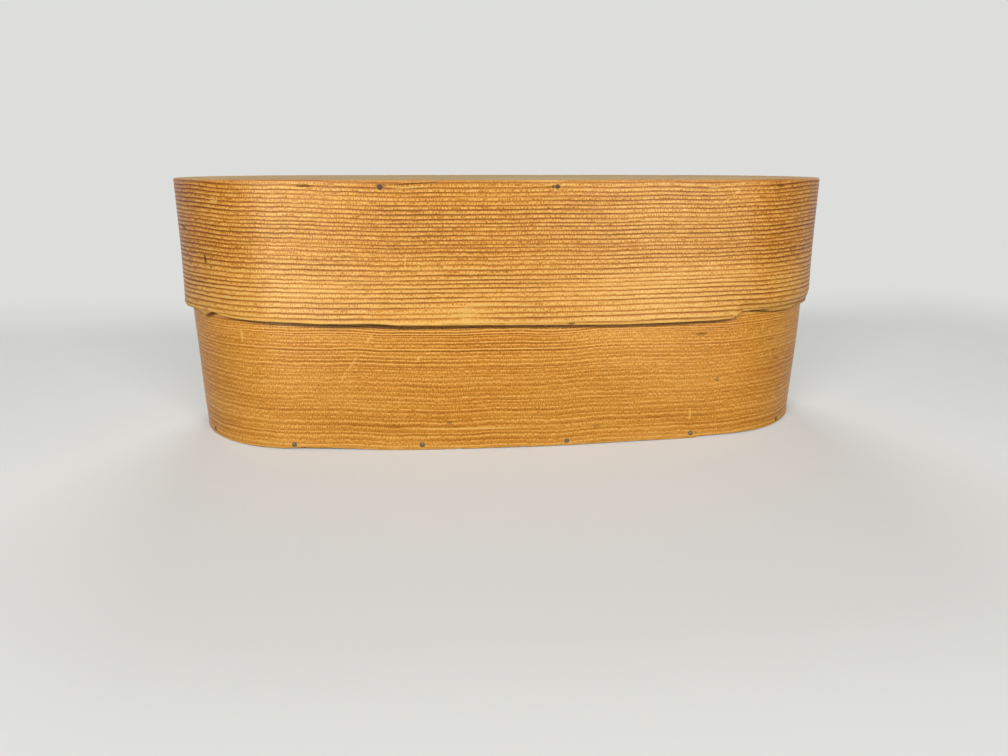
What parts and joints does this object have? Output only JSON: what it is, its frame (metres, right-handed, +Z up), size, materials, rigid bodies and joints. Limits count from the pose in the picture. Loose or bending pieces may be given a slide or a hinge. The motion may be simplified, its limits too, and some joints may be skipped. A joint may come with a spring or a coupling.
{
  "type": "hatbox",
  "caption": "Oval bentwood hatbox with a deep lift-off lid; each half is a thin varnished softwood band bent round a board, lapped at the back and fixed with iron tacks.",
  "frame": {"origin": "middle of the base, on the surface that the box stands on", "axes": "+Z up, +X along the box to the right of its front, +Y to the back, where the bands are lapped"},
  "size_m": [0.4827, 0.219, 0.182],
  "materials": {
    "body_wood": "amber varnish, semi-gloss, fine straight grain",
    "lid_wood": "amber varnish, semi-gloss, strongly ribbed straight grain",
    "board_wood": "thin worn varnish, dusty, straight grain",
    "tack_iron": "dull dark iron, slightly rusted"
  },
  "bodies": {
    "box": {"body_band": "body_wood", "bottom_board": "board_wood", "bottom_tacks": "tack_iron", "body_lap_tacks": "tack_iron"},
    "lid": {"lid_band": "lid_wood", "lid_board": "board_wood", "lid_tacks": "tack_iron", "lid_lap_tacks": "tack_iron"}
  },
  "joints": [
    {"name": "lid_lift", "type": "slide", "parent": "box", "child": "lid", "axis": [0, 0, 1], "range_m": [0, 0.12]}
  ]
}
